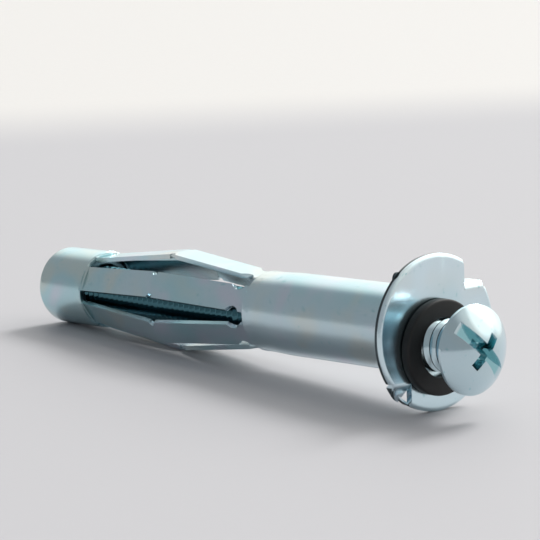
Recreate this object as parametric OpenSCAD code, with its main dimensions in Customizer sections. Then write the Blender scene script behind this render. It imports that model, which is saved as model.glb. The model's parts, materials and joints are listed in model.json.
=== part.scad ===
// Hollow wall anchor with its screw: a slotted sheet-metal sleeve, a clawed flange, a captive nut bush,
// a pan-head screw and a loose washer. It lies on its side as it would on a table. Millimetres.
// Every piece is drawn along the sleeve's axis, with z running from the flange's front face to the far
// end and x pointing up. lying_down() then lays the whole anchor on its flange rim and its collar.

/* [Sleeve] */
// Outside diameter of the tube that the sleeve is rolled into
tube_d = 9.5; // [8.9:0.1:12]
// Thickness of the sleeve's sheet
sheet_t = 0.55; // [0.4:0.05:0.7]
// Length of the plain barrel, from the flange's face to the legs
barrel_len = 27.5; // [16:0.5:45]
// Length of the legs along the sleeve
legs_len = 31; // [22:0.5:45]
// Length of the plain collar round the nut
collar_len = 9; // [7:0.5:14]
// Length of the barrel's end that narrows towards the legs
neck_len = 5; // [2:0.5:8]
// How much the radius shrinks along that end
neck_drop = 0.18; // [0:0.02:0.3]
// Rounding of the barrel's and collar's edges at the legs
edge_round = 0.2; // [0.1:0.05:0.3]
// Outer radius of the turned-in end of the collar
turn_r = 1; // [0.8:0.1:1.4]
// Width of the lip that is turned in there to trap the nut
lip_w = 0.9; // [0.6:0.05:1.1]
// Width of the open seam where the rolled sheet meets
seam_w = 0.12; // [0.08:0.02:0.3]
// Radial height of the flared mouth that grips the flange
mouth_flare = 0.3; // [0.2:0.05:0.4]

/* [Legs] */
// Number of legs
leg_count = 6; // [4:1:6]
// Width of a leg
leg_w = 3.2; // [2.4:0.1:3.9]
// Turn of the first leg from the top
leg_turn = -5; // [-30:1:30]
// Height of a leg's crease above the tube
crease_rise = 1.15; // [0.4:0.05:3]
// Radius of the half-round notches at the crease
crease_notch_r = 0.45; // [0.3:0.05:0.7]
// Length of the waist beside a leg's root
waist_len = 2; // [1.4:0.1:2.6]
// Depth of the waist at each edge
waist_depth = 0.6; // [0.3:0.05:0.8]
// Distance from the barrel's end to the waist's middle
waist_at = 1.8; // [1.4:0.1:3]

/* [Flange] */
// Diameter of the flange
flange_d = 17.05; // [15:0.05:22]
// Thickness of the flange
flange_t = 0.8; // [0.6:0.05:1.2]
// Width of the sheared-over rim on the front
rim_w = 0.5; // [0.2:0.05:0.8]
// How far the rim falls back
rim_drop = 0.27; // [0.1:0.01:0.4]
// Distance of the upper claw's fold line from the centre
upper_fold = 4.1; // [3.9:0.1:6.2]
// Distance of the lower claw's fold line from the centre
lower_fold = 4.7; // [3.9:0.1:6.2]
// Distance of the claws' cut edges from the centre
claw_cut = 4.15; // [3.6:0.05:4.5]
// Width of the cut between a claw and the flange
claw_kerf = 0.06; // [0.02:0.01:0.2]
// Inner radius of the claws' bend
claw_bend_r = 0.05; // [0.05:0.05:0.4]
// Bend of the upper claw out of the flange
upper_bend = 90; // [30:1:95]
// Bend of the lower claw out of the flange
lower_bend = 45; // [30:1:95]

/* [Screw] */
// Diameter of the thread
thread_d = 5.9; // [5:0.05:6.4]
// Length under the head
screw_len = 70; // [66:0.5:72]
// How far the head's underside stands in front of the flange
head_out = 5.3; // [2:0.1:6]
// Diameter of the head
head_d = 9.75; // [8:0.05:12]
// Height of the head
head_h = 2.4; // [1.8:0.1:3.2]
// Height of the head's straight rim
head_rim = 0.45; // [0.3:0.05:0.8]
// Rounding between the head and the shank
head_fillet = 0.15; // [0.1:0.05:0.5]
// Width of the driver slot
slot_w = 1.45; // [1:0.05:1.8]
// Depth of the driver slot below the top of the head
slot_depth = 1.35; // [0.8:0.05:1.6]
// Turn of the driver slot about the screw
slot_turn = -46; // [-180:1:180]
// Span of the cross recess at the top of the head
cross_span = 4.8; // [3.6:0.1:5.6]
// Width of the cross recess's wings
cross_w = 1.1; // [0.8:0.05:1.4]
// Depth of the cross recess below the top of the head
cross_depth = 2.6; // [1.6:0.1:3]

/* [Nut and washer] */
// Clearance between the screw and the nut's bore, on the radius
thread_play = 0.05; // [0.02:0.01:0.1]
// Free space round the leaning nut in the collar
nut_play = 0.03; // [0.02:0.01:0.2]
// Free space at each end of the leaning nut
nut_end_gap = 0.17; // [0.1:0.01:0.5]
// Diameter of the washer
washer_d = 10.45; // [9:0.05:14]
// Thickness of the washer
washer_t = 1.1; // [0.6:0.1:2]
// Diameter of the washer's hole
washer_hole_d = 6.5; // [6.1:0.1:7.6]
// Rounding of the washer's edges
washer_round = 0.15; // [0.05:0.05:0.3]

/* [Hidden] */
$fn = 96;

// Gap between pieces that rest or hang on each other
rest_gap = 0.03;

// Sleeve
tube_r = tube_d / 2;
bore_r = tube_r - sheet_t;
mouth_r = tube_r + mouth_flare - rest_gap;
barrel_end_r = tube_r - neck_drop;
legs_end = barrel_len + legs_len;
sleeve_len = legs_end + collar_len;
crease_at = barrel_len + legs_len / 2;
crease_r = tube_r + crease_rise;
root_lap = sheet_t;
bend_in = 0.07;
lip_r = bore_r - lip_w;
leg_pitch = 360 / leg_count;
seam_gap = 3;
seam_turn = leg_turn + (seam_gap + 0.5) * leg_pitch;
waist_r = (pow(waist_len / 2, 2) + pow(waist_depth, 2)) / (2 * waist_depth);

// Flange
flange_r = flange_d / 2;
flange_hole_r = tube_r + rest_gap;
claw_end = sqrt(pow(flange_r, 2) - pow(claw_cut, 2));
claw_hinge = flange_t + claw_bend_r;

// Screw, sagging until it touches the lower edge of the sleeve's mouth
thread_r = thread_d / 2;
nut_mid = (legs_end + root_lap + sleeve_len - sheet_t) / 2;
screw_sag = bore_r - thread_r - rest_gap;
screw_lean = atan(screw_sag / (nut_mid - mouth_flare));
sag_turn = 16;
tip_chamfer = 0.6;
head_r = head_d / 2;
recess_over = 0.4;
cross_foot = 0.8 * cross_w;
dome_rise = head_h - head_rim;
dome_r = (pow(head_r, 2) + pow(dome_rise, 2)) / (2 * dome_rise);
underhead_at = -(nut_mid + head_out);
top_at = underhead_at - head_h;

// Nut, leaning with the screw in the collar between the legs' roots and the turned-in end
pocket_len = sleeve_len - sheet_t - legs_end - root_lap;
nut_len = pocket_len - 2 * (nut_end_gap + bore_r * sin(screw_lean));
nut_r = bore_r - nut_play - nut_len / 2 * sin(screw_lean);
nut_bore_r = thread_r + thread_play;
nut_chamfer = 0.3;

// Washer, hanging on the screw and leaning with it, just clear of the flange
washer_r = washer_d / 2;
washer_hole_r = washer_hole_d / 2;
washer_drop = washer_hole_r - thread_r - rest_gap;
washer_back = -(nut_mid + (washer_r + washer_drop) * sin(screw_lean) + rest_gap) / cos(screw_lean);

// How far the lowest leg reaches below the axis, at distance r from it and half_w wide
leg_angles = [for (i = [0:leg_count - 1]) leg_turn + i * leg_pitch];
function leg_low(r, half_w) = max([for (a = leg_angles) half_w * abs(sin(a)) - r * cos(a)]);

// Slope of a line from the lower edge of the flange's back to a point that low
function slope_to(low, at) = (flange_r - low) / (at - flange_t);

// Rest on a flat surface: on the flange's rim, and on the collar or a leg, whichever touches first
leg_fall = (crease_r - flat_at(tube_r)) / (legs_end + bend_in - crease_at);
shoulder_low = leg_low(crease_r - crease_notch_r * leg_fall, leg_w / 2);
rest_tilt = atan(min(
    slope_to(tube_r, sleeve_len - turn_r),
    slope_to(leg_low(crease_r, leg_w / 2 - crease_notch_r), crease_at),
    slope_to(shoulder_low, crease_at + crease_notch_r)
));

steel = [0.66, 0.71, 0.74];
bright_steel = [0.74, 0.79, 0.81];
black_rubber = [0.13, 0.13, 0.13];

// Points of an arc about [x, y], both ends included
function arc(x, y, r, from, to, steps = 6) =
    [for (i = [0:steps]) let (a = from + (to - from) * i / steps) [x + r * cos(a), y + r * sin(a)]];

// Distance from the axis of a flat leg whose edges meet a tube of radius r from inside
function flat_at(r) = sqrt(pow(r - rest_gap, 2) - pow(leg_w / 2, 2));

// Lays what is drawn along the sleeve's axis on its side, with the flange's back at the origin
module lying_down() {
    rotate([0, -90 - rest_tilt, 0])
        translate([0, 0, -flange_t])
            children();
}

// Places what is drawn along the screw's axis, with its z zero in the middle of the nut
module along_screw() {
    translate([0, 0, nut_mid])
        rotate([0, 0, sag_turn])
            rotate([0, screw_lean, 0])
                rotate([0, 0, -sag_turn])
                    children();
}

module barrel() {
    rotate_extrude()
        polygon(concat(
            [[mouth_r, rest_gap], [tube_r, mouth_flare]],
            [[tube_r, barrel_len - neck_len]],
            arc(barrel_end_r - edge_round, barrel_len - edge_round, edge_round, 0, 90),
            [[barrel_end_r - sheet_t, barrel_len], [bore_r, barrel_len - neck_len]],
            [[bore_r, mouth_flare], [mouth_r - sheet_t, rest_gap]]
        ));
}

module collar() {
    rotate_extrude()
        polygon(concat(
            [[bore_r, legs_end]],
            arc(tube_r - edge_round, legs_end + edge_round, edge_round, -90, 0),
            arc(tube_r - turn_r, sleeve_len - turn_r, turn_r, 0, 90),
            [[lip_r, sleeve_len], [lip_r, sleeve_len - sheet_t]],
            arc(tube_r - turn_r, sleeve_len - turn_r, turn_r - sheet_t, 90, 0)
        ));
}

// One leg at the top of the sleeve: a flat strip that rises to its crease and falls again
module leg() {
    near_root = flat_at(barrel_end_r);
    far_root = flat_at(tube_r);
    difference() {
        translate([0, leg_w / 2, 0])
            rotate([90, 0, 0])
                linear_extrude(leg_w)
                    polygon([
                        [near_root, barrel_len - root_lap],
                        [near_root, barrel_len - bend_in],
                        [crease_r, crease_at],
                        [far_root, legs_end + bend_in],
                        [far_root, legs_end + root_lap],
                        [far_root - sheet_t, legs_end + root_lap],
                        [far_root - sheet_t, legs_end + bend_in],
                        [crease_r - sheet_t, crease_at],
                        [near_root - sheet_t, barrel_len - bend_in],
                        [near_root - sheet_t, barrel_len - root_lap]
                    ]);
        for (side = [-1, 1]) {
            leg_edge_cut(side * leg_w / 2, crease_at, crease_notch_r);
            leg_edge_cut(side * (leg_w / 2 + waist_r - waist_depth), barrel_len + waist_at, waist_r);
        }
    }
}

module leg_edge_cut(y, z, r) {
    translate([0, y, z])
        rotate([0, 90, 0])
            cylinder(r = r, h = crease_r + 1);
}

// The open seam runs along the barrel and the collar, in line with a gap between two legs
module seam() {
    rotate([0, 0, seam_turn])
        translate([0, -seam_w / 2, -1])
            cube([tube_r + 1, seam_w, sleeve_len + 2]);
}

module sleeve() {
    color(steel)
        lying_down()
            union() {
                difference() {
                    barrel();
                    seam();
                }
                difference() {
                    collar();
                    seam();
                }
                for (angle = leg_angles)
                    rotate([0, 0, angle])
                        leg();
            }
}

module flange_disc() {
    rotate_extrude()
        polygon([
            [flange_hole_r + mouth_flare, 0],
            [flange_r - rim_w, 0],
            [flange_r, rim_drop],
            [flange_r, flange_t],
            [flange_hole_r, flange_t],
            [flange_hole_r, mouth_flare]
        ]);
}

// The corner of the flange that a claw is cut and bent out of
module claw_corner(fold) {
    translate([fold, claw_cut, -1])
        cube([flange_r, flange_r, flange_t + 2]);
}

// End of the bent claw's face that lies r from the bend's centre
function claw_tip(fold, bend, r) = [
    fold + r * sin(bend) + (claw_end - fold) * cos(bend),
    claw_hinge - r * cos(bend) + (claw_end - fold) * sin(bend)
];

// A claw bent back out of the sheet, pointed by the part of the round rim that it keeps
module claw(fold, bend) {
    claw_w = sqrt(pow(flange_r, 2) - pow(fold, 2)) - claw_cut - claw_kerf - rim_w;
    difference() {
        translate([0, claw_cut + claw_kerf + claw_w, 0])
            rotate([90, 0, 0])
                linear_extrude(claw_w)
                    polygon(concat(
                        [[fold - flange_t, 0]],
                        arc(fold, claw_hinge, claw_hinge, -90, bend - 90),
                        [claw_tip(fold, bend, claw_hinge), claw_tip(fold, bend, claw_bend_r)],
                        arc(fold, claw_hinge, claw_bend_r, bend - 90, -90),
                        [[fold - flange_t, flange_t]]
                    ));
        translate([fold, 0, claw_hinge])
            rotate([0, -bend, 0])
                translate([-fold, 0, -claw_hinge])
                    difference() {
                        translate([fold, 0, -1])
                            cube([flange_r, flange_r, flange_t + 2]);
                        translate([0, 0, -2])
                            cylinder(r = flange_r, h = flange_t + 4);
                    }
    }
}

module flange() {
    color(bright_steel)
        lying_down() {
            difference() {
                flange_disc();
                claw_corner(upper_fold);
                rotate([0, 0, 180])
                    claw_corner(lower_fold);
            }
            claw(upper_fold, upper_bend);
            rotate([0, 0, 180])
                claw(lower_fold, lower_bend);
        }
}

module nut() {
    color(steel)
        lying_down()
            along_screw()
                rotate_extrude()
                    polygon([
                        [nut_bore_r + nut_chamfer, -nut_len / 2],
                        [nut_r - nut_chamfer, -nut_len / 2],
                        [nut_r, nut_chamfer - nut_len / 2],
                        [nut_r, nut_len / 2 - nut_chamfer],
                        [nut_r - nut_chamfer, nut_len / 2],
                        [nut_bore_r + nut_chamfer, nut_len / 2],
                        [nut_bore_r, nut_len / 2 - nut_chamfer],
                        [nut_bore_r, nut_chamfer - nut_len / 2]
                    ]);
}

// Shank and domed head, before the driver recesses are cut
module screw_blank() {
    dome_start = asin(head_r / dome_r);
    rotate_extrude()
        polygon(concat(
            [[0, underhead_at + screw_len], [thread_r - tip_chamfer, underhead_at + screw_len]],
            [[thread_r, underhead_at + screw_len - tip_chamfer]],
            arc(thread_r + head_fillet, underhead_at + head_fillet, head_fillet, 180, 270),
            [[head_r, underhead_at]],
            arc(0, top_at + dome_r, dome_r, dome_start - 90, -90, 12)
        ));
}

// Two crossed wings that narrow towards the bottom of the recess
module cross_recess() {
    for (quarter = [0, 90])
        rotate([90, 0, quarter])
            linear_extrude(cross_w, center = true)
                polygon([
                    [-cross_span / 2 - recess_over, top_at - recess_over],
                    [cross_span / 2 + recess_over, top_at - recess_over],
                    [cross_foot, top_at + cross_depth],
                    [-cross_foot, top_at + cross_depth]
                ]);
}

module driver_slot() {
    translate([-head_d / 2 - 1, -slot_w / 2, top_at - 1])
        cube([head_d + 2, slot_w, slot_depth + 1]);
}

module screw() {
    color(bright_steel)
        lying_down()
            along_screw()
                difference() {
                    screw_blank();
                    rotate([0, 0, slot_turn]) {
                        driver_slot();
                        cross_recess();
                    }
                }
}

module washer() {
    color(black_rubber)
        lying_down()
            along_screw()
                translate([-washer_drop, 0, washer_back - washer_t])
                    rotate_extrude()
                        polygon(concat(
                            arc(washer_hole_r + washer_round, washer_round, washer_round, 180, 270, 3),
                            arc(washer_r - washer_round, washer_round, washer_round, -90, 0, 3),
                            arc(washer_r - washer_round, washer_t - washer_round, washer_round, 0, 90, 3),
                            arc(washer_hole_r + washer_round, washer_t - washer_round, washer_round, 90, 180, 3)
                        ));
}

sleeve();
flange();
nut();
screw();
washer();
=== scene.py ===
"""Looks of a hollow wall anchor: a zinc-plated sleeve and flange, a threaded bush, a pan-head
screw and a black washer, lying on a pale table.

Laid out as an add-on: the sizes and colours that a user would change are properties, each piece
is made by an operator, and main() runs them in order. Lengths are in metres, in the frame of the
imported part.
"""

import json
import math

import bmesh
import bpy
from mathutils import Euler, Matrix, Vector


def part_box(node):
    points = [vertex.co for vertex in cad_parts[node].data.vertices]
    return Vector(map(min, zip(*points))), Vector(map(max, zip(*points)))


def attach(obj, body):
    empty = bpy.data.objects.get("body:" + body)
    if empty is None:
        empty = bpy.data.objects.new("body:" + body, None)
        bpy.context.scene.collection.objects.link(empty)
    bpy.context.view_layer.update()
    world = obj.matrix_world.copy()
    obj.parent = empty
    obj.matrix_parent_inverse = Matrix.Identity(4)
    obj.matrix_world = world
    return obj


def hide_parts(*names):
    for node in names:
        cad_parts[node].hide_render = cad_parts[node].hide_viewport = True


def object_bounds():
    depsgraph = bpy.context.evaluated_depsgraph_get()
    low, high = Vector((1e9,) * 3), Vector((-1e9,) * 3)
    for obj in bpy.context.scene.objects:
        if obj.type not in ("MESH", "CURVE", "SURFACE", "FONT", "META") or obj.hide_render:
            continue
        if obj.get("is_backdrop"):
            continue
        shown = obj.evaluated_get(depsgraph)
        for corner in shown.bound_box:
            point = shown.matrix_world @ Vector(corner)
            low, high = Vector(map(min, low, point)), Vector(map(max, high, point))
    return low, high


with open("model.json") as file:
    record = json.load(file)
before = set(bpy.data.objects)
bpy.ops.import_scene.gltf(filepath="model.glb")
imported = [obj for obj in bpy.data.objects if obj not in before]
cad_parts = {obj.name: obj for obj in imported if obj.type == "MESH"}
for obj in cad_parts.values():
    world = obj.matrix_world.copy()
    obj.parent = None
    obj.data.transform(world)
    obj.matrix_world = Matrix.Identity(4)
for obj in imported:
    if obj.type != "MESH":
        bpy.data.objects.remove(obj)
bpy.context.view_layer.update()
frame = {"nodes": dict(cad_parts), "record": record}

bl_info = {
    "name": "Hollow wall anchor",
    "version": (1, 0, 0),
    "blender": (4, 5, 0),
    "location": "3D View > Sidebar > Wall anchor",
    "description": "Makes the finished pieces of a hollow wall anchor round its packed model",
    "category": "Object",
}

MM = 0.001
FLANGE_T = 0.8 * MM
FLANGE_GRAIN = Vector((0, 1, 0))
ROUND_STEPS = 128


# ---------------------------------------------------------------- places, from the frame


def mount(name):
    """Place and direction of one of the part's mounts."""
    found = next(m for m in frame["record"]["mounts"] if m["name"] == name)
    return Vector(found["pos_m"]), Vector(found["axis"]).normalized()


WALL_FACE, SLEEVE_AXIS = mount("wall_hole")
SCREW_OUT = mount("drive")[1]
HEAD_UNDERSIDE = mount("fixture_seat")[0]


def along(axis, origin, up=Vector((0, 0, 1))):
    """Matrix that lays z on an axis and x as near as it can to up, from an origin."""
    z = axis.normalized()
    x = (up - z * up.dot(z)).normalized()
    y = z.cross(x)
    turn = Matrix((x, y, z)).transposed().to_4x4()
    return Matrix.Translation(origin) @ turn


# ---------------------------------------------------------------- sizes and colours


class SleeveSizes(bpy.types.PropertyGroup):
    """Finish of the sheet-metal sleeve."""

    edge: bpy.props.FloatProperty(
        name="Edge rounding",
        description="Width of the worn edges of the sheet",
        default=0.06 * MM,
        unit="LENGTH",
    )
    barrel_end: bpy.props.FloatProperty(
        name="Barrel's end",
        description="From the wall's face to the legs",
        default=26.7 * MM,
        unit="LENGTH",
    )
    crease_at: bpy.props.FloatProperty(
        name="Crease",
        description="From the wall's face to the legs' creases",
        default=42.0 * MM,
        unit="LENGTH",
    )
    collar_start: bpy.props.FloatProperty(
        name="Collar's start",
        description="From the wall's face to the collar",
        default=57.7 * MM,
        unit="LENGTH",
    )
    end_roll: bpy.props.FloatProperty(
        name="End roll", description="Swell of the barrel's end", default=0.1 * MM, unit="LENGTH"
    )
    root_step: bpy.props.FloatProperty(
        name="Root step",
        description="Drop from the barrel to the legs",
        default=0.12 * MM,
        unit="LENGTH",
    )
    collar_step: bpy.props.FloatProperty(
        name="Collar step",
        description="Drop from the collar to the legs",
        default=0.2 * MM,
        unit="LENGTH",
    )


class FlangeSizes(bpy.types.PropertyGroup):
    """Finish of the flange."""

    edge: bpy.props.FloatProperty(
        name="Edge rounding",
        description="Width of the worn edges of the pressed disc",
        default=0.05 * MM,
        unit="LENGTH",
    )


class ScrewSizes(bpy.types.PropertyGroup):
    """The screw's thread and head."""

    major_r: bpy.props.FloatProperty(
        name="Thread radius",
        description="Radius over the thread's crests",
        default=2.94 * MM,
        unit="LENGTH",
    )
    pitch: bpy.props.FloatProperty(
        name="Pitch",
        description="Travel of the screw in one turn",
        default=1.0 * MM,
        unit="LENGTH",
    )
    depth: bpy.props.FloatProperty(
        name="Thread depth",
        description="Depth of the thread's grooves",
        default=0.6 * MM,
        unit="LENGTH",
    )
    head_r: bpy.props.FloatProperty(
        name="Head radius",
        description="Radius of the domed head",
        default=4.87 * MM,
        unit="LENGTH",
    )
    head_h: bpy.props.FloatProperty(
        name="Head height", description="Height of the domed head", default=2.4 * MM, unit="LENGTH"
    )
    rim_h: bpy.props.FloatProperty(
        name="Rim height",
        description="Height of the head's straight rim",
        default=0.45 * MM,
        unit="LENGTH",
    )
    length: bpy.props.FloatProperty(
        name="Length", description="Length under the head", default=70 * MM, unit="LENGTH"
    )
    tip: bpy.props.FloatProperty(
        name="Tip chamfer",
        description="Chamfer of the thread's end",
        default=0.6 * MM,
        unit="LENGTH",
    )
    slot_w: bpy.props.FloatProperty(
        name="Slot width", description="Width of the driver slot", default=1.45 * MM, unit="LENGTH"
    )
    slot_depth: bpy.props.FloatProperty(
        name="Slot depth",
        description="Depth of the slot below the top",
        default=1.35 * MM,
        unit="LENGTH",
    )
    slot_turn: bpy.props.FloatProperty(
        name="Slot turn",
        description="Turn of the slot about the screw, from upright",
        default=math.radians(46),
        subtype="ANGLE",
    )
    cross_span: bpy.props.FloatProperty(
        name="Cross span", description="Span of the cross recess", default=4.9 * MM, unit="LENGTH"
    )
    cross_w: bpy.props.FloatProperty(
        name="Cross width",
        description="Width of the cross recess's wings",
        default=1.1 * MM,
        unit="LENGTH",
    )
    cross_depth: bpy.props.FloatProperty(
        name="Cross depth",
        description="Depth of the cross recess",
        default=2.3 * MM,
        unit="LENGTH",
    )

    def dome_r(self):
        """Radius of the head's dome, from its rise over the rim."""
        rise = self.head_h - self.rim_h
        return (self.head_r**2 + rise**2) / (2 * rise)


class WasherSizes(bpy.types.PropertyGroup):
    """The loose washer."""

    outer_r: bpy.props.FloatProperty(
        name="Outer radius",
        description="Radius of the washer's rim",
        default=5.225 * MM,
        unit="LENGTH",
    )
    hole_r: bpy.props.FloatProperty(
        name="Hole radius",
        description="Radius of the washer's hole",
        default=3.25 * MM,
        unit="LENGTH",
    )
    thickness: bpy.props.FloatProperty(
        name="Thickness", description="Thickness of the washer", default=1.1 * MM, unit="LENGTH"
    )
    rounding: bpy.props.FloatProperty(
        name="Rounding",
        description="Rounding of the washer's rim",
        default=0.14 * MM,
        unit="LENGTH",
    )


class FinishColours(bpy.types.PropertyGroup):
    """Colours of the plating, the washer and the stage."""

    zinc: bpy.props.FloatVectorProperty(
        name="Zinc",
        description="Body colour of the plating",
        subtype="COLOR",
        default=(0.575, 0.725, 0.78),
    )
    zinc_bright: bpy.props.FloatVectorProperty(
        name="Bright zinc",
        description="Colour of the flange's plating",
        subtype="COLOR",
        default=(0.73, 0.87, 0.93),
    )
    zinc_violet: bpy.props.FloatVectorProperty(
        name="Violet cast",
        description="Colour of the plating where its film is thin",
        subtype="COLOR",
        default=(0.71, 0.68, 0.79),
    )
    zinc_teal: bpy.props.FloatVectorProperty(
        name="Teal cast",
        description="Colour of the plating where its film is thick",
        subtype="COLOR",
        default=(0.46, 0.70, 0.75),
    )
    zinc_gold: bpy.props.FloatVectorProperty(
        name="Gold cast",
        description="Warm colour in the plating's film",
        subtype="COLOR",
        default=(0.72, 0.71, 0.62),
    )
    # Used for the random dark specks in the plating, and as painted shade on the walls of the
    # head's recesses.
    specks_and_recess_shade: bpy.props.FloatVectorProperty(
        name="Specks and recess shade",
        description="Colour of the plating's dark specks, and painted shade in the head's recesses",
        subtype="COLOR",
        default=(0.33, 0.60, 0.64),
    )
    # Painted shade: this dark colour stands for the shade on the screw's thread inside the sleeve.
    shank_shade_colour: bpy.props.FloatVectorProperty(
        name="Shank shade",
        description="Colour of the screw's thread inside the sleeve",
        subtype="COLOR",
        default=(0.06, 0.15, 0.18),
    )
    # A darker colour on the flange's sheared edge, behind its rounded rim.
    dark_rim_edge: bpy.props.FloatVectorProperty(
        name="Cut edge",
        description="Colour of the sheared edge",
        subtype="COLOR",
        default=(0.07, 0.09, 0.10),
    )
    rubber: bpy.props.FloatVectorProperty(
        name="Washer",
        description="Colour of the washer",
        subtype="COLOR",
        default=(0.004, 0.004, 0.004),
    )
    table: bpy.props.FloatVectorProperty(
        name="Table",
        description="Colour of the table",
        subtype="COLOR",
        default=(0.545, 0.533, 0.55),
    )
    wall: bpy.props.FloatVectorProperty(
        name="Wall",
        description="Colour of the backdrop",
        subtype="COLOR",
        default=(0.755, 0.73, 0.705),
    )


class CameraPlace(bpy.types.PropertyGroup):
    """Where the camera stands, seen from the middle of the flange's face."""

    azimuth: bpy.props.FloatProperty(
        name="Azimuth",
        description="Turn of the camera round the part",
        default=math.radians(49.57),
        subtype="ANGLE",
    )
    elevation: bpy.props.FloatProperty(
        name="Elevation",
        description="Height of the camera as an angle",
        default=math.radians(9.85),
        subtype="ANGLE",
    )
    distance: bpy.props.FloatProperty(
        name="Distance",
        description="Distance to the flange along the view",
        default=0.27839,
        unit="LENGTH",
    )
    right: bpy.props.FloatProperty(
        name="Flange to the right",
        description="How far right of the middle the flange sits",
        default=0.01801,
        unit="LENGTH",
    )
    down: bpy.props.FloatProperty(
        name="Flange down",
        description="How far below the middle the flange sits",
        default=0.00671,
        unit="LENGTH",
    )
    lens: bpy.props.FloatProperty(
        name="Lens", description="Focal length in millimetres", default=173.3
    )


# ---------------------------------------------------------------- shader maths


class Signal:
    """A shader socket that Python's operators work on; each one adds a Math node."""

    def __init__(self, shader, socket):
        self.shader = shader
        self.socket = socket

    def _math(self, operation, first, second):
        return self.shader.add("ShaderNodeMath", {"operation": operation}, {0: first, 1: second})

    def __add__(self, other):
        return self._math("ADD", self, other)

    def __radd__(self, other):
        return self._math("ADD", other, self)

    def __sub__(self, other):
        return self._math("SUBTRACT", self, other)

    def __rsub__(self, other):
        return self._math("SUBTRACT", other, self)

    def __mul__(self, other):
        return self._math("MULTIPLY", self, other)

    def __rmul__(self, other):
        return self._math("MULTIPLY", other, self)

    def __pow__(self, other):
        return self._math("POWER", self, other)

    def __rpow__(self, other):
        return self._math("POWER", other, self)

    def step(self, low, high):
        """Runs smoothly from 0 at low to 1 at high."""
        settings = {"interpolation_type": "SMOOTHSTEP"}
        values = {"Value": self, "From Min": low, "From Max": high}
        return self.shader.add("ShaderNodeMapRange", settings, values)


class Shader:
    """The node tree of a material or a world."""

    def __init__(self, owner):
        owner.use_nodes = True
        self.owner = owner
        self.tree = owner.node_tree
        self.tree.nodes.clear()

    def add(self, kind, settings=None, values=None, output=0):
        """Adds a node: its settings first, then the values or links of its sockets."""
        node = self.tree.nodes.new(kind)
        for name, value in (settings or {}).items():
            setattr(node, name, value)
        for name, value in (values or {}).items():
            self.feed(node.inputs[name], value)
        return Signal(self, node.outputs[output]) if node.outputs else None

    def feed(self, socket, value):
        """Links a signal to a socket, or sets its value."""
        if isinstance(value, Signal):
            self.tree.links.new(value.socket, socket)
        elif socket.type == "RGBA":
            socket.default_value = (*value, 1)
        else:
            socket.default_value = value

    def place(self, scale=(1, 1, 1), turn=(0, 0, 0), move=(0, 0, 0)):
        """Object coordinates, moved, turned and scaled."""
        coords = self.add("ShaderNodeTexCoord", output="Object")
        values = {"Vector": coords, "Location": move, "Rotation": turn, "Scale": scale}
        return self.add("ShaderNodeMapping", {"vector_type": "POINT"}, values)

    def noise(self, where, scale, detail, rough, distortion=0.0):
        """Cloudy pattern from 0 to 1, with this many spots to the metre."""
        values = {
            "Vector": where,
            "Scale": scale,
            "Detail": detail,
            "Roughness": rough,
            "Distortion": distortion,
        }
        return self.add("ShaderNodeTexNoise", values=values)

    def dot(self, first, second):
        """Length of one vector along another."""
        settings = {"operation": "DOT_PRODUCT"}
        return self.add("ShaderNodeVectorMath", settings, {0: first, 1: second}, output=1)

    def distance(self, first, second):
        """Distance between two points."""
        settings = {"operation": "DISTANCE"}
        return self.add("ShaderNodeVectorMath", settings, {0: first, 1: second}, output=1)

    def mix(self, amount, first, second):
        """Mixes two colours."""
        values = {0: amount, 6: first, 7: second}
        return self.add("ShaderNodeMix", {"data_type": "RGBA"}, values, output=2)

    def bump(self, height, distance, strength, under=None):
        """Relief in the surface, over another one if there is one under it."""
        values = {"Height": height, "Distance": distance, "Strength": strength}
        if under:
            values["Normal"] = under
        return self.add("ShaderNodeBump", values=values)

    def surface(self, **values):
        """Ends the material in a Principled shader."""
        named = {name.replace("_", " "): value for name, value in values.items()}
        skin = self.add("ShaderNodeBsdfPrincipled", values=named)
        self.add("ShaderNodeOutputMaterial", values={"Surface": skin})
        return self.owner


# ---------------------------------------------------------------- materials


def axis_turn(axis):
    """Rotation that brings an axis of the part onto z, for patterns that follow it."""
    return tuple(along(axis, Vector()).to_3x3().inverted().to_euler())


def zinc(name, axis, rough, drawn, cast, seed=0.0, masks=(), film=None):
    """Bright zinc plating: drawing lines along an axis, a fine grain and colour casts in its film.

    Drawn and cast say how strong the lines and the casts are, and seed moves the pattern. Each
    mask is a function of the shader that says where another colour takes over, with that colour.
    """
    colours = bpy.context.scene.anchor_colours
    shader = Shader(bpy.data.materials.new(name))
    turn = axis_turn(axis)
    solid = shader.place(turn=turn, move=(seed, seed, seed))
    stretched = shader.place(scale=(1, 1, 0.03), turn=turn)
    streaks = shader.noise(stretched, scale=1900, detail=2.0, rough=0.55)
    grain = shader.noise(solid, scale=3800, detail=2.0, rough=0.5)
    cloud = shader.noise(solid, scale=170, detail=1.5, rough=0.45, distortion=0.3)
    patches = shader.noise(solid, scale=60, detail=2.0, rough=0.5, distortion=0.6)
    specks = shader.noise(solid, scale=1500, detail=2.0, rough=0.5)

    teal = patches.step(0.45, 0.62) * cast
    violet = cloud.step(0.48, 0.75) * 0.8 * cast
    gold = cloud.step(0.5, 0.3) * 0.6 * cast
    base = shader.mix(teal, film or colours.zinc, colours.zinc_teal)
    base = shader.mix(violet, base, colours.zinc_violet)
    base = shader.mix(gold, base, colours.zinc_gold)
    base = shader.mix(specks.step(0.66, 0.72) * 0.5, base, colours.specks_and_recess_shade)
    for where, colour in masks:
        base = shader.mix(where(shader), base, colour)

    gloss = rough + (cloud - 0.5) * 0.08 + (streaks - 0.5) * 0.05 * drawn
    waves = shader.bump(cloud, distance=0.006 * MM, strength=0.2)
    lines = shader.bump(streaks, distance=0.0003 * MM, strength=0.3 * drawn, under=waves)
    normal = shader.bump(grain, distance=0.0002 * MM, strength=0.25, under=lines)
    return shader.surface(Base_Color=base, Metallic=1.0, Roughness=gloss, Normal=normal)


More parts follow.
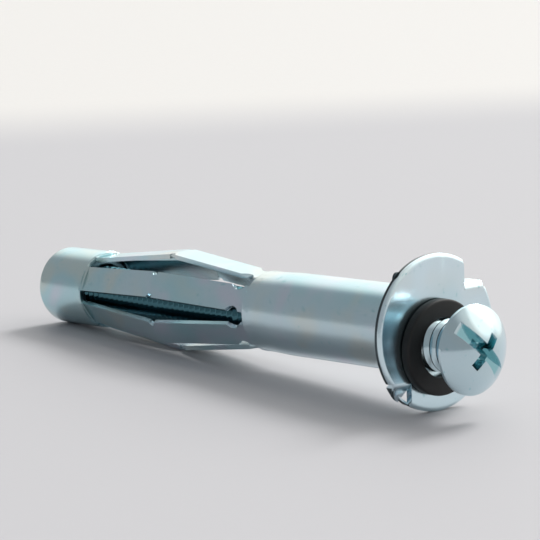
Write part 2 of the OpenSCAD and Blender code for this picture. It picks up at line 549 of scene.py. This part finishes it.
def shaded_recess(shader):
    """Painted shade on the walls of the head's slot and cross recess, below its dome."""
    sizes = bpy.context.scene.anchor_screw
    dome_r = sizes.dome_r()
    shallow, deep = 0.12 * MM, 0.35 * MM
    where = shader.place()
    middle = HEAD_UNDERSIDE + SCREW_OUT * (sizes.head_h - dome_r)
    below = shader.distance(where, middle).step(dome_r - shallow, dome_r - deep)
    rim = SCREW_OUT.dot(HEAD_UNDERSIDE) + 0.25 * MM
    above = shader.dot(where, SCREW_OUT).step(rim, rim + 0.05 * MM)
    return below * above


def shaded_shank(shader):
    """The part of the screw inside the sleeve, darkened with painted shade where its thread shows
    through the slots.
    """
    shade_begins, shade_full = -6 * MM, -14 * MM
    return shader.dot(shader.place(), SCREW_OUT).step(shade_begins, shade_full)


def cut_edge(shader):
    """The sheared edge round the flange, behind its rounded rim, which is coloured darker."""
    where = shader.place()
    height = shader.dot(where, SLEEVE_AXIS)
    radius = (shader.distance(where, (0, 0, 0)) ** 2 - height**2) ** 0.5
    behind = height.step(-0.45 * MM, -0.3 * MM)
    outside = radius.step(8.36 * MM, 8.46 * MM)
    return behind * outside


def rubber():
    """Black washer material with a fine matt grain."""
    shader = Shader(bpy.data.materials.new("washer black"))
    where = shader.place()
    grain = shader.noise(where, scale=6000, detail=4.0, rough=0.6)
    dust = shader.noise(where, scale=900, detail=5.0, rough=0.7)
    normal = shader.bump(grain, distance=0.01 * MM, strength=0.5)
    colour = bpy.context.scene.anchor_colours.rubber
    return shader.surface(Base_Color=colour, Roughness=0.6 + (dust - 0.5) * 0.2, Normal=normal)


def table_paint(place):
    """Table round the part and a paler, warmer wall colour far behind it, softly joined."""
    wall_distance = 0.565
    wall_slant = 0.42
    fibre_colour = (0.5, 0.5, 0.54)
    colours = bpy.context.scene.anchor_colours
    right, ahead = ground_axes(place)
    slant = ahead - right * wall_slant
    edge = slant.dot(camera_point(place)) + wall_distance
    shader = Shader(bpy.data.materials.new("table paint"))
    where = shader.place()
    far = shader.dot(where, slant).step(edge - 0.05, edge + 0.04)
    fibres = shader.noise(where, scale=900, detail=3.0, rough=0.6)
    base = shader.mix(far, colours.table, colours.wall)
    base = shader.mix(fibres.step(0.4, 0.8) * 0.06, base, fibre_colour)
    return shader.surface(Base_Color=base, Roughness=0.7)


# ---------------------------------------------------------------- mesh helpers


def new_piece(name, bm, material, body, replaced, smooth_angle=35):
    """Turns a bmesh into a finished object that rides on a body in place of a CAD node."""
    bmesh.ops.recalc_face_normals(bm, faces=bm.faces)
    mesh = bpy.data.meshes.new(name)
    bm.to_mesh(mesh)
    bm.free()
    for face in mesh.polygons:
        face.use_smooth = True
    mesh.set_sharp_from_angle(angle=math.radians(smooth_angle))
    mesh.materials.append(material)
    piece = bpy.data.objects.new(name, mesh)
    bpy.context.scene.collection.objects.link(piece)
    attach(piece, body)
    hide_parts(replaced)
    even = piece.modifiers.new("even shading", "WEIGHTED_NORMAL")
    even.keep_sharp = True


def cad_copy(node):
    """A merged copy of a CAD node."""
    bm = bmesh.new()
    bm.from_mesh(frame["nodes"][node].data)
    bmesh.ops.remove_doubles(bm, verts=bm.verts, dist=1e-6)
    bmesh.ops.dissolve_limit(bm, angle_limit=math.radians(0.5), verts=bm.verts, edges=bm.edges)
    return bm


def round_edges(bm, width):
    """Rounds the edges that turn by more than 30 degrees."""
    least = math.radians(30)
    closed = [e for e in bm.edges if len(e.link_faces) == 2]
    sharp = [e for e in closed if e.calc_face_angle() > least]
    bmesh.ops.bevel(
        bm,
        geom=sharp,
        offset=width,
        offset_type="OFFSET",
        segments=3,
        profile=0.5,
        affect="EDGES",
        material=-1,
        clamp_overlap=True,
    )


def revolve(bm, outline, steps, matrix):
    """Spins an outline of (radius, height) points about z and places it."""
    verts = [bm.verts.new((r, 0, z)) for r, z in outline]
    edges = [bm.edges.new(pair) for pair in zip(verts, verts[1:])]
    bmesh.ops.spin(
        bm,
        geom=verts + edges,
        cent=(0, 0, 0),
        axis=(0, 0, 1),
        angle=2 * math.pi,
        steps=steps,
        use_merge=True,
        use_duplicate=False,
    )
    bmesh.ops.remove_doubles(bm, verts=bm.verts, dist=1e-7)
    bmesh.ops.transform(bm, matrix=matrix, verts=bm.verts)


# ---------------------------------------------------------------- operators


class ANCHOR_OT_sleeve(bpy.types.Operator):
    """Make the slotted sheet-metal sleeve"""

    bl_idname = "anchor.sleeve"
    bl_label = "Sleeve"

    def execute(self, context):
        sizes = context.scene.anchor_sleeve
        bm = cad_copy("sleeve")
        round_edges(bm, sizes.edge)
        step_roots(bm, sizes)
        material = zinc("sleeve zinc", SLEEVE_AXIS, rough=0.23, drawn=1.0, cast=0.8)
        new_piece("sheet_sleeve", bm, material, "shell", "sleeve")
        return {"FINISHED"}


def step_roots(bm, sizes):
    """Rolls the barrel's end and draws the legs in where they leave it and the collar.

    Each stop is a height along the sleeve and how far the sheet moves out from its middle there.
    """
    lie = along(SLEEVE_AXIS, WALL_FACE)
    bmesh.ops.transform(bm, matrix=lie.inverted(), verts=bm.verts)
    bend = 0.3 * MM
    crease_flat = 0.5 * MM
    collar_edge = sizes.collar_start - 0.05 * MM
    stops = [
        (sizes.barrel_end - 1.1 * MM, 0),
        (sizes.barrel_end - bend, sizes.end_roll),
        (sizes.barrel_end, 0.7 * sizes.end_roll),
        (sizes.barrel_end + bend, -sizes.root_step),
        (sizes.barrel_end + 2.8 * MM, -0.6 * sizes.root_step),
        (sizes.crease_at - crease_flat, 0),
        (sizes.crease_at + crease_flat, 0),
        (collar_edge - bend, -sizes.collar_step),
        (collar_edge, 0),
    ]
    for height, _ in stops:
        bmesh.ops.bisect_plane(
            bm,
            geom=bm.verts[:] + bm.edges[:] + bm.faces[:],
            plane_co=(0, 0, height),
            plane_no=(0, 0, 1),
            dist=1e-7,
        )
    for vert in bm.verts:
        for (low, low_drop), (high, high_drop) in zip(stops, stops[1:]):
            if low < vert.co.z <= high:
                drop = low_drop + (high_drop - low_drop) * (vert.co.z - low) / (high - low)
                vert.co.xy *= 1 + drop / vert.co.xy.length
                break
    bmesh.ops.transform(bm, matrix=lie, verts=bm.verts)


class ANCHOR_OT_flange(bpy.types.Operator):
    """Make the pressed flange with its claws"""

    bl_idname = "anchor.flange"
    bl_label = "Flange"

    def execute(self, context):
        bm = cad_copy("flange")
        lie = along(-SLEEVE_AXIS, -SLEEVE_AXIS * FLANGE_T)
        bmesh.ops.transform(bm, matrix=lie.inverted(), verts=bm.verts)
        close_mouth(bm)
        round_edges(bm, context.scene.anchor_flange.edge)
        add_sliver(
            bm, angles=(139, 157), radii=(8.2 * MM, 8.52 * MM), heights=(-0.72 * MM, -1.2 * MM)
        )
        add_sliver(
            bm, angles=(33, 43), radii=(8.3 * MM, 8.8 * MM), heights=(-0.55 * MM, -0.85 * MM)
        )
        bmesh.ops.transform(bm, matrix=lie, verts=bm.verts)
        colours = context.scene.anchor_colours
        material = zinc(
            "flange zinc",
            FLANGE_GRAIN,
            rough=0.2,
            drawn=0.3,
            cast=0.35,
            seed=0.01,
            masks=[(cut_edge, colours.dark_rim_edge)],
            film=colours.zinc_bright,
        )
        new_piece("clawed_flange", bm, material, "shell", "flange")
        return {"FINISHED"}


def close_mouth(bm):
    """Carries the flange's face inwards as a thin lip over the sleeve's mouth.

    The lip runs from the flange's countersunk bore to a hole round the screw, which is the bore's
    outline made smaller and moved to the screw.
    """
    lip_t = 0.025 * MM
    shift = 0.65 * MM
    share, back_share = 0.7, 0.704
    bore_r = (4.6 * MM, 5.3 * MM)
    ring = [f for f in bm.faces if bore_r[0] < f.calc_center_median().xy.length < bore_r[1]]
    cone = [f for f in ring if 0.2 < abs(f.normal.z) < 0.95]
    loops = boundary_loops(bm, cone)
    bmesh.ops.delete(bm, geom=cone, context="FACES_ONLY")
    front, inner = sorted(loops, key=lambda edges: -edges[0].verts[0].co.z)
    rim = push_loop(bm, front, lambda p: Vector((p.x * share - shift, p.y * share, p.z)))
    under = push_loop(bm, rim, lambda p: Vector((p.x, p.y, p.z - lip_t)))
    back = push_loop(
        bm, under, lambda p: Vector(((p.x + shift) / back_share, p.y / back_share, p.z))
    )
    bmesh.ops.bridge_loops(bm, edges=back + inner)
    bmesh.ops.recalc_face_normals(bm, faces=bm.faces)


def add_sliver(bm, angles, radii, heights):
    """Adds an arc of torn metal along the rim, between two angles in degrees, thin at its ends."""
    start, end = angles
    inner, outer = radii
    front, back = heights
    thin = 0.2
    arc = bmesh.new()
    corners = ((inner, front), (outer, front), (outer, back), (inner, back))
    outline = [arc.verts.new((r, 0, z)) for r, z in corners]
    face = arc.faces.new(outline)
    turn = math.radians(end - start)
    bmesh.ops.spin(arc, geom=[face] + outline, axis=(0, 0, 1), angle=turn, steps=10)
    for vert in arc.verts:
        share = math.atan2(vert.co.y, vert.co.x) / turn
        swell = thin + (1 - thin) * math.sin(math.pi * min(max(share, 0), 1))
        radius = vert.co.xy.length
        vert.co.xy *= (inner + (radius - inner) * swell) / radius
    bmesh.ops.rotate(arc, matrix=Matrix.Rotation(math.radians(start), 3, "Z"), verts=arc.verts)
    bmesh.ops.recalc_face_normals(arc, faces=arc.faces)
    mesh = bpy.data.meshes.new("sliver")
    arc.to_mesh(mesh)
    arc.free()
    bm.from_mesh(mesh)
    bpy.data.meshes.remove(mesh)


def boundary_loops(bm, faces):
    """The two rings of edges round a band of faces."""
    band = set(faces)
    rings = [[], []]
    edges = [e for e in bm.edges if len(band.intersection(e.link_faces)) == 1]
    middle = sum(e.verts[0].co.z for e in edges) / len(edges)
    for edge in edges:
        rings[edge.verts[0].co.z > middle].append(edge)
    return rings


def push_loop(bm, edges, move):
    """Extrudes a ring of edges and moves the new ring."""
    made = bmesh.ops.extrude_edge_only(bm, edges=edges)["geom"]
    fresh = {part for part in made if isinstance(part, bmesh.types.BMVert)}
    for vert in fresh:
        vert.co = move(vert.co)
    sides = [part for part in made if isinstance(part, bmesh.types.BMEdge)]
    return [edge for edge in sides if set(edge.verts) <= fresh]


class ANCHOR_OT_nut(bpy.types.Operator):
    """Finish the threaded bush in the collar"""

    bl_idname = "anchor.nut"
    bl_label = "Nut"

    def execute(self, context):
        nut = frame["nodes"]["nut"]
        nut.data.materials.clear()
        material = zinc("nut zinc", SCREW_OUT, rough=0.3, drawn=0.3, cast=0.4, seed=0.02)
        nut.data.materials.append(material)
        return {"FINISHED"}


class ANCHOR_OT_screw(bpy.types.Operator):
    """Make the threaded screw with its slotted and cross-recessed head"""

    bl_idname = "anchor.screw"
    bl_label = "Screw"

    def execute(self, context):
        sizes = context.scene.anchor_screw
        lie = along(SCREW_OUT, HEAD_UNDERSIDE)
        bm = bmesh.new()
        make_thread(bm, sizes)
        make_head(bm, sizes)
        bmesh.ops.transform(bm, matrix=lie, verts=bm.verts)
        colours = context.scene.anchor_colours
        material = zinc(
            "screw zinc",
            SCREW_OUT,
            rough=0.13,
            drawn=0.15,
            cast=0.35,
            seed=0.03,
            # Both masks paint shade: on the walls of the head's recesses and on the thread inside
            # the sleeve.
            masks=[(shaded_recess, colours.specks_and_recess_shade), (shaded_shank, colours.shank_shade_colour)],
        )
        new_piece("pan_screw", bm, material, "screw", "screw", smooth_angle=32)
        return {"FINISHED"}


def make_thread(bm, sizes):
    """Right-hand thread from the head down: one turn along its helix, then copies of that turn.

    The outline of one groove gives the radius at shares of the pitch.
    """
    crest, root = sizes.major_r, sizes.major_r - sizes.depth
    pitch = sizes.pitch
    crest_half, root_half = 0.06, 0.06
    root_round = 0.03 * MM
    lead = 1.5
    outline = [
        (crest, -crest_half),
        (crest, crest_half),
        (root + root_round, 0.5 - root_half),
        (root, 0.5),
        (root + root_round, 0.5 + root_half),
        (crest, 1 - crest_half),
    ]
    verts = [bm.verts.new((r, 0, (lead - share) * pitch)) for r, share in outline]
    edges = [bm.edges.new(pair) for pair in zip(verts, verts[1:])]
    steps = 36
    bmesh.ops.spin(
        bm,
        geom=verts + edges,
        cent=(0, 0, 0),
        axis=(0, 0, 1),
        dvec=(0, 0, -pitch / steps),
        angle=-2 * math.pi,
        steps=steps,
        use_merge=False,
        use_duplicate=False,
    )
    turn = bm.verts[:] + bm.edges[:] + bm.faces[:]
    for number in range(1, int(sizes.length / pitch) + 3):
        copy = bmesh.ops.duplicate(bm, geom=turn)["geom"]
        moved = [part for part in copy if isinstance(part, bmesh.types.BMVert)]
        bmesh.ops.translate(bm, verts=moved, vec=(0, 0, -number * pitch))
    bmesh.ops.remove_doubles(bm, verts=bm.verts, dist=0.004 * MM)
    cut_flat(bm, 0.0, 1)
    cut_flat(bm, -sizes.length, -1)
    start = -sizes.length + sizes.tip
    for vert in (v for v in bm.verts if v.co.z < start):
        radius = max(vert.co.xy.length, 1e-9)
        vert.co.xy *= min(1.0, (crest - start + vert.co.z) / radius)


def cut_flat(bm, height, side):
    """Cuts a shank square at a height and closes it."""
    geom = bm.verts[:] + bm.edges[:] + bm.faces[:]
    cut = bmesh.ops.bisect_plane(
        bm,
        geom=geom,
        plane_co=(0, 0, height),
        plane_no=(0, 0, side),
        clear_outer=True,
    )
    rim = [e for e in cut["geom_cut"] if isinstance(e, bmesh.types.BMEdge)]
    bmesh.ops.contextual_create(bm, geom=rim)


def make_head(bm, sizes):
    """Domed head with its slot and cross recess."""
    dome_r = sizes.dome_r()
    start = math.asin(sizes.head_r / dome_r)
    chamfer = 0.12 * MM
    outline = [(0, 0), (sizes.head_r - chamfer, 0), (sizes.head_r, chamfer)]
    rings = 28
    for step in range(rings + 1):
        angle = start * (1 - step / rings)
        outline.append((dome_r * math.sin(angle), sizes.head_h - dome_r * (1 - math.cos(angle))))
    head = bmesh.new()
    revolve(head, outline, ROUND_STEPS, Matrix())
    bmesh.ops.recalc_face_normals(head, faces=head.faces)
    shaped = carve(head, [slot_cutter(sizes)] + cross_cutters(sizes), edge=0.07 * MM)
    bm.from_mesh(shaped)
    bpy.data.meshes.remove(shaped)


def slot_cutter(sizes):
    """Block that cuts the driver slot."""
    bm = bmesh.new()
    bmesh.ops.create_cube(bm, size=1)
    size = (3 * sizes.head_r, sizes.slot_w, 2 * sizes.slot_depth)
    bmesh.ops.scale(bm, vec=size, verts=bm.verts)
    bmesh.ops.rotate(bm, matrix=Matrix.Rotation(sizes.slot_turn, 3, "Z"), verts=bm.verts)
    bmesh.ops.translate(bm, vec=(0, 0, sizes.head_h), verts=bm.verts)
    return bm


def cross_cutters(sizes):
    """Two crossed wedges that cut the cross recess, smaller at their feet than at their tops."""
    foot_span, foot_w = 0.36, 0.8
    above_top = 0.1 * MM
    size = (sizes.cross_span, sizes.cross_w, sizes.cross_depth)
    middle = sizes.head_h - sizes.cross_depth / 2
    cutters = []
    for quarter in (0, math.pi / 2):
        bm = bmesh.new()
        bmesh.ops.create_cube(bm, size=1)
        bmesh.ops.scale(bm, vec=size, verts=bm.verts)
        foot = [v for v in bm.verts if v.co.z < 0]
        top = [v for v in bm.verts if v.co.z > 0]
        bmesh.ops.scale(bm, vec=(foot_span, foot_w, 1), verts=foot)
        bmesh.ops.translate(bm, vec=(0, 0, middle), verts=bm.verts)
        bmesh.ops.translate(bm, vec=(0, 0, above_top), verts=top)
        turn = Matrix.Rotation(sizes.slot_turn + quarter, 3, "Z")
        bmesh.ops.rotate(bm, matrix=turn, verts=bm.verts)
        cutters.append(bm)
    return cutters


def carve(bm, cutters, edge):
    """Cuts shapes out of a solid, rounds the edges that are left and returns the mesh."""
    solid = link_temporary("carved", bm)
    tools = [link_temporary("cutter", cutter) for cutter in cutters]
    for tool in tools:
        cut = solid.modifiers.new("cut", "BOOLEAN")
        cut.operation = "DIFFERENCE"
        cut.solver = "EXACT"
        cut.object = tool
    soft = solid.modifiers.new("edge", "BEVEL")
    soft.width = edge
    soft.segments = 3
    soft.limit_method = "ANGLE"
    soft.angle_limit = math.radians(28)
    graph = bpy.context.evaluated_depsgraph_get()
    mesh = bpy.data.meshes.new_from_object(solid.evaluated_get(graph))
    for piece in [solid] + tools:
        old = piece.data
        bpy.data.objects.remove(piece)
        bpy.data.meshes.remove(old)
    return mesh


def link_temporary(name, bm):
    """Puts a bmesh into the scene as an object, for its modifiers to work on."""
    mesh = bpy.data.meshes.new(name)
    bm.to_mesh(mesh)
    bm.free()
    piece = bpy.data.objects.new(name, mesh)
    bpy.context.scene.collection.objects.link(piece)
    return piece


class ANCHOR_OT_washer(bpy.types.Operator):
    """Make the loose black washer"""

    bl_idname = "anchor.washer"
    bl_label = "Washer"

    def execute(self, context):
        sizes = context.scene.anchor_washer
        low, high = (Vector(corner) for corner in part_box("washer"))
        middle = (low + high) / 2
        thick, outer, hole = sizes.thickness / 2, sizes.outer_r, sizes.hole_r
        soft = sizes.rounding
        chamfer = 0.1 * MM
        outline = [
            (hole + chamfer, -thick),
            (outer - soft, -thick),
            (outer - 0.3 * soft, 0.3 * soft - thick),
            (outer, soft - thick),
            (outer, thick - 2 * soft),
            (outer - 0.25 * soft, thick - 0.9 * soft),
            (outer - 0.9 * soft, thick - 0.25 * soft),
            (outer - 2 * soft, thick),
            (hole + chamfer, thick),
            (hole, thick - chamfer),
            (hole, chamfer - thick),
            (hole + chamfer, -thick),
        ]
        bm = bmesh.new()
        revolve(bm, outline, ROUND_STEPS, along(SCREW_OUT, middle))
        new_piece("black_washer", bm, rubber(), "washer", "washer")
        return {"FINISHED"}


class ANCHOR_OT_stage(bpy.types.Operator):
    """Make the table, the lights and the camera"""

    bl_idname = "anchor.stage"
    bl_label = "Stage"

    def execute(self, context):
        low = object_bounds()[0]
        make_table(low[2])
        make_world(context.scene.anchor_camera)
        make_lamps(context.scene)
        make_camera(context.scene)
        context.scene.view_settings.view_transform = "Standard"
        return {"FINISHED"}


def make_table(height):
    """A wide flat table that the part lies on."""
    half_width = 3.0
    bm = bmesh.new()
    bmesh.ops.create_grid(bm, x_segments=1, y_segments=1, size=half_width)
    bmesh.ops.translate(bm, verts=bm.verts, vec=(0, 0, height))
    mesh = bpy.data.meshes.new("table")
    bm.to_mesh(mesh)
    bm.free()
    mesh.materials.append(table_paint(bpy.context.scene.anchor_camera))
    table = bpy.data.objects.new("table", mesh)
    bpy.context.scene.collection.objects.link(table)
    table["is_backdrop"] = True


def make_world(place):
    """A studio with a bright wall behind the part, a window on its right and a dim left side."""
    cool, warm = (0.90, 0.95, 1.0), (1.0, 1.0, 0.97)
    dim = 0.38
    right, ahead = ground_axes(place)
    up = Vector((0, 0, 1))
    wall = (ahead * 0.75 + right * 0.35 + up * 0.56).normalized()
    window = (ahead * 0.12 + right * 0.84 + up * 0.52).normalized()
    world = bpy.data.worlds.new("studio")
    bpy.context.scene.world = world
    shader = Shader(world)
    looking = shader.add("ShaderNodeTexCoord", output="Generated")
    to_wall = shader.dot(looking, wall)
    to_window = shader.dot(looking, window)
    wall_light = to_wall.step(0.6, 0.86) * 0.95
    window_light = to_window.step(0.6, 0.9) * 0.45
    pane_light = to_window.step(0.88, 0.95) * 0.6
    light = wall_light + window_light + pane_light + dim
    colour = shader.mix(light.step(0.3, 1.0), cool, warm)
    sky = shader.add("ShaderNodeBackground", values={"Color": colour, "Strength": light})
    shader.add("ShaderNodeOutputWorld", values={"Surface": sky})


def camera_turn(place):
    """Turn of the camera, which looks against its own z axis."""
    return Euler((math.pi / 2 - place.elevation, 0, place.azimuth))


def view_axes(place):
    """Right, up and back of the camera in the part's frame."""
    turn = camera_turn(place).to_matrix()
    return turn.col[0], turn.col[1], turn.col[2]


def ground_axes(place):
    """Right and ahead of the camera, level with the table."""
    right, _, back = view_axes(place)
    return right, Vector((-back.x, -back.y, 0)).normalized()


def camera_point(place):
    """Where the camera stands, from where the middle of the flange's face shows in its view."""
    right, up, back = view_axes(place)
    face = -SLEEVE_AXIS * FLANGE_T
    return face + back * place.distance - right * place.right + up * place.down


def make_lamps(scene):
    """A wide light from behind and from the right."""
    right, ahead = ground_axes(scene.anchor_camera)
    towards = ahead * 0.7 + right * 0.58 + Vector((0, 0, 0.84))
    light = bpy.data.lights.new("window", "SUN")
    light.angle = math.radians(20)
    light.energy = 1.75
    lamp = bpy.data.objects.new("window", light)
    lamp.matrix_world = along(towards, towards, right)
    scene.collection.objects.link(lamp)


def make_camera(scene):
    """The camera, which looks at the part from in front of its flange."""
    place = scene.anchor_camera
    camera = bpy.data.objects.new("camera", bpy.data.cameras.new("camera"))
    camera.data.sensor_width = 36
    camera.data.lens = place.lens
    camera.data.clip_start = 0.01
    camera.location = camera_point(place)
    camera.rotation_euler = camera_turn(place)
    scene.collection.objects.link(camera)
    scene.camera = camera


class ANCHOR_PT_pieces(bpy.types.Panel):
    """Buttons for the pieces of the anchor."""

    bl_idname = "ANCHOR_PT_pieces"
    bl_label = "Wall anchor"
    bl_space_type = "VIEW_3D"
    bl_region_type = "UI"
    bl_category = "Wall anchor"

    def draw(self, context):
        for operator in OPERATORS:
            self.layout.operator(operator.bl_idname)


OPERATORS = (
    ANCHOR_OT_sleeve,
    ANCHOR_OT_flange,
    ANCHOR_OT_nut,
    ANCHOR_OT_screw,
    ANCHOR_OT_washer,
    ANCHOR_OT_stage,
)
SETTINGS = {
    "anchor_sleeve": SleeveSizes,
    "anchor_flange": FlangeSizes,
    "anchor_screw": ScrewSizes,
    "anchor_washer": WasherSizes,
    "anchor_colours": FinishColours,
    "anchor_camera": CameraPlace,
}


def register():
    for group in SETTINGS.values():
        bpy.utils.register_class(group)
    for name, group in SETTINGS.items():
        setattr(bpy.types.Scene, name, bpy.props.PointerProperty(type=group))
    for operator in OPERATORS:
        bpy.utils.register_class(operator)
    bpy.utils.register_class(ANCHOR_PT_pieces)


def unregister():
    bpy.utils.unregister_class(ANCHOR_PT_pieces)
    for operator in reversed(OPERATORS):
        bpy.utils.unregister_class(operator)
    for name in SETTINGS:
        delattr(bpy.types.Scene, name)
    for group in reversed(SETTINGS.values()):
        bpy.utils.unregister_class(group)


def main():
    """Makes every piece and the stage."""
    register()
    for operator in OPERATORS:
        group, name = operator.bl_idname.split(".")
        getattr(getattr(bpy.ops, group), name)()


if __name__ == "__main__":
    main()
